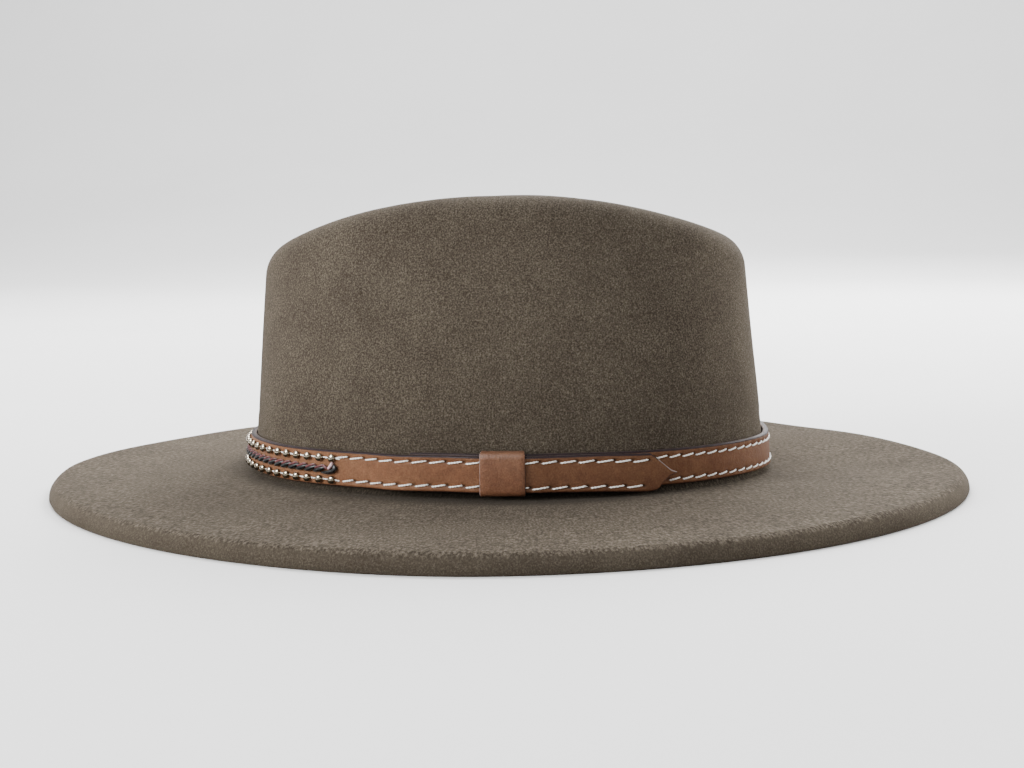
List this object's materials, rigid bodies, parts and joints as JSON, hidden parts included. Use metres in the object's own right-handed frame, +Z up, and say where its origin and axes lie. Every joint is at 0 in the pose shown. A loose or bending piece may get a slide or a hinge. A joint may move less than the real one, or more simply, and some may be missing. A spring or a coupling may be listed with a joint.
{
  "type": "wide-brimmed felt hat",
  "caption": "Wide-brimmed felt hat with a creased crown, a turned-down brim edge and a stitched leather band with a keeper, beads and a plaited lace.",
  "frame": {"origin": "middle of the plane that the brim's edge rests on", "axes": "+Z up out of the crown, -Y the front of the hat, +X the wearer's left, where the strap's point is"},
  "size_m": [0.338, 0.374, 0.1175],
  "materials": {
    "felt": "short-napped wool felt, olive brown",
    "strap_leather": "semi-matt brown leather with dark painted edges",
    "bead_silver": "polished silver colour",
    "lace_thread": "black and burgundy waxed cord"
  },
  "bodies": {
    "root": {"felt_body": "felt", "strap": "strap_leather", "keeper": "strap_leather", "bead_row_upper": "bead_silver", "bead_row_lower": "bead_silver", "lace": "lace_thread"}
  },
  "joints": []
}
